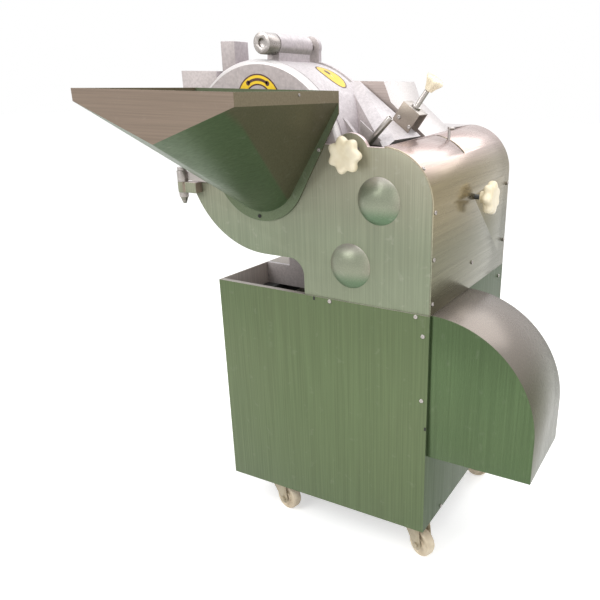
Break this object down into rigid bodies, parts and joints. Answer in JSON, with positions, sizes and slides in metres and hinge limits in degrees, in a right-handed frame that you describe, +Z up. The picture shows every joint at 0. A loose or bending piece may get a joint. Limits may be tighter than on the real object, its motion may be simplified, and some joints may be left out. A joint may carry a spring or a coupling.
{
  "type": "industrial vegetable dicer",
  "caption": "Free-standing vegetable dicer with a hinged feed hopper, round impeller drum, slice gate, knife housing, motor cover and caster-mounted cabinet.",
  "frame": {"origin": "middle of the footprint, on the floor", "axes": "+X to the right seen from the front, +Y from the front to the back, +Z up"},
  "size_m": [0.948, 0.853, 1.2759],
  "materials": {
    "sheet_steel": "brushed sheet",
    "bright_steel": "bright",
    "cast_alloy": "sand cast, smoothed",
    "knob_plastic": "cream, glossy",
    "dark_metal": "satin",
    "motor_paint": "satin",
    "rubber": "matt"
  },
  "bodies": {
    "machine": {"base_frame": "dark_metal", "front_panel": "sheet_steel", "right_panel": "sheet_steel", "left_panel": "sheet_steel", "back_panel": "sheet_steel", "top_panel": "sheet_steel", "discharge_chute": "bright_steel", "front_plate": "sheet_steel", "mid_plate": "sheet_steel", "rear_plate": "sheet_steel", "tie_bars": "bright_steel", "curved_cover": "bright_steel", "rear_hood": "sheet_steel", "gear_cover": "cast_alloy", "drum_case": "cast_alloy", "case_lug": "cast_alloy", "gate_hinge_pin": "bright_steel", "pointer_pin": "bright_steel", "hinge_bracket": "sheet_steel", "hinge_pin": "bright_steel", "hinge_nut": "bright_steel", "upper_bearing_cover": "sheet_steel", "lower_bearing_cover": "sheet_steel", "shaft_bearings": "bright_steel", "bearing_housing": "dark_metal", "impeller_belt": "rubber", "slice_knife": "bright_steel", "stripper_comb": "bright_steel", "motor": "motor_paint", "motor_mount": "dark_metal", "drive_belt": "rubber", "motor_cover": "sheet_steel", "caster_plates": "bright_steel"},
    "gate": {"slice_gate": "cast_alloy", "adjuster_bracket": "bright_steel", "lock_lever": "bright_steel"},
    "adjuster": {"adjuster_screw": "bright_steel", "adjuster_knob": "knob_plastic"},
    "lock": {"lock_knob": "knob_plastic"},
    "door": {"hopper": "sheet_steel", "hinge_arm": "bright_steel"},
    "cover_knob": {"side_knob": "knob_plastic"},
    "impeller": {"impeller": "bright_steel", "impeller_shaft": "bright_steel", "impeller_pulley": "dark_metal"},
    "crosscut": {"crosscut_rotor": "bright_steel", "crosscut_knives": "bright_steel", "crosscut_gear": "dark_metal"},
    "disc": {"disc_shaft": "bright_steel", "disc_knives": "bright_steel", "disc_drive": "dark_metal"},
    "motor_rotor": {"motor_pulley": "dark_metal"},
    "swivel_fl": {"fork_fl": "bright_steel"},
    "roller_fl": {"wheel_fl": "knob_plastic"},
    "swivel_fr": {"fork_fr": "bright_steel"},
    "roller_fr": {"wheel_fr": "knob_plastic"},
    "swivel_rl": {"fork_rl": "bright_steel"},
    "roller_rl": {"wheel_rl": "knob_plastic"},
    "swivel_rr": {"fork_rr": "bright_steel"},
    "roller_rr": {"wheel_rr": "knob_plastic"}
  },
  "joints": [
    {"name": "gate_tilt", "type": "hinge", "parent": "machine", "child": "gate", "pos_m": [-0.209, 0.0315, 1.251], "axis": [0, -1, 0], "range_deg": [0, 3]},
    {"name": "adjuster_turn", "type": "hinge", "parent": "gate", "child": "adjuster", "pos_m": [0.06202, 0.0805, 1.08006], "axis": [0.5878, 0, 0.809], "range_deg": [0, 1080]},
    {"name": "lock_turn", "type": "hinge", "parent": "gate", "child": "lock", "pos_m": [0.017, -0.0685, 1.027], "axis": [0, -1, 0], "range_deg": [0, 180]},
    {"name": "hopper_swing", "type": "hinge", "parent": "machine", "child": "door", "pos_m": [-0.461, -0.1045, 0.935], "axis": [0, 0, -1], "range_deg": [0, 110]},
    {"name": "side_knob_turn", "type": "hinge", "parent": "machine", "child": "cover_knob", "pos_m": [0.217, 0.1635, 0.917], "axis": [1, 0, 0], "range_deg": [0, 180]},
    {"name": "impeller_spin", "type": "hinge", "parent": "machine", "child": "impeller", "pos_m": [-0.231, 0.0315, 1], "axis": [0, 1, 0], "continuous": true},
    {"name": "disc_spin", "type": "hinge", "parent": "machine", "child": "disc", "pos_m": [0.012, 0.0315, 0.776], "axis": [0, 1, 0], "continuous": true},
    {"name": "crosscut_spin", "type": "hinge", "parent": "machine", "child": "crosscut", "pos_m": [0.086, 0.0315, 0.931], "axis": [0, 1, 0], "continuous": true},
    {"name": "motor_spin", "type": "hinge", "parent": "machine", "child": "motor_rotor", "pos_m": [0.321, 0.1215, 0.47], "axis": [0, 1, 0], "continuous": true},
    {"name": "swivel_fl_turn", "type": "hinge", "parent": "machine", "child": "swivel_fl", "pos_m": [-0.273, -0.0305, 0.08], "axis": [0, 0, 1], "continuous": true},
    {"name": "wheel_fl_spin", "type": "hinge", "parent": "swivel_fl", "child": "roller_fl", "pos_m": [-0.23387, -0.03882, 0.0375], "axis": [0.2079, 0.9781, 0], "continuous": true},
    {"name": "swivel_fr_turn", "type": "hinge", "parent": "machine", "child": "swivel_fr", "pos_m": [0.159, -0.0305, 0.08], "axis": [0, 0, 1], "continuous": true},
    {"name": "wheel_fr_spin", "type": "hinge", "parent": "swivel_fr", "child": "roller_fr", "pos_m": [0.19609, -0.04548, 0.0375], "axis": [0.3746, 0.9272, 0], "continuous": true},
    {"name": "swivel_rl_turn", "type": "hinge", "parent": "machine", "child": "swivel_rl", "pos_m": [-0.273, 0.3685, 0.08], "axis": [0, 0, 1], "continuous": true},
    {"name": "wheel_rl_spin", "type": "hinge", "parent": "swivel_rl", "child": "roller_rl", "pos_m": [-0.24729, 0.33786, 0.0375], "axis": [0.766, 0.6428, 0], "continuous": true},
    {"name": "swivel_rr_turn", "type": "hinge", "parent": "machine", "child": "swivel_rr", "pos_m": [0.159, 0.3685, 0.08], "axis": [0, 0, 1], "continuous": true},
    {"name": "wheel_rr_spin", "type": "hinge", "parent": "swivel_rr", "child": "roller_rr", "pos_m": [0.19839, 0.37545, 0.0375], "axis": [-0.1736, 0.9848, 0], "continuous": true}
  ],
  "couplings": [
    {"joint": "adjuster_turn", "follows": "gate_tilt", "ratio": 360},
    {"joint": "disc_spin", "follows": "impeller_spin", "ratio": 2.5714},
    {"joint": "crosscut_spin", "follows": "impeller_spin", "ratio": -3.1765},
    {"joint": "motor_spin", "follows": "impeller_spin", "ratio": 4.8857}
  ]
}
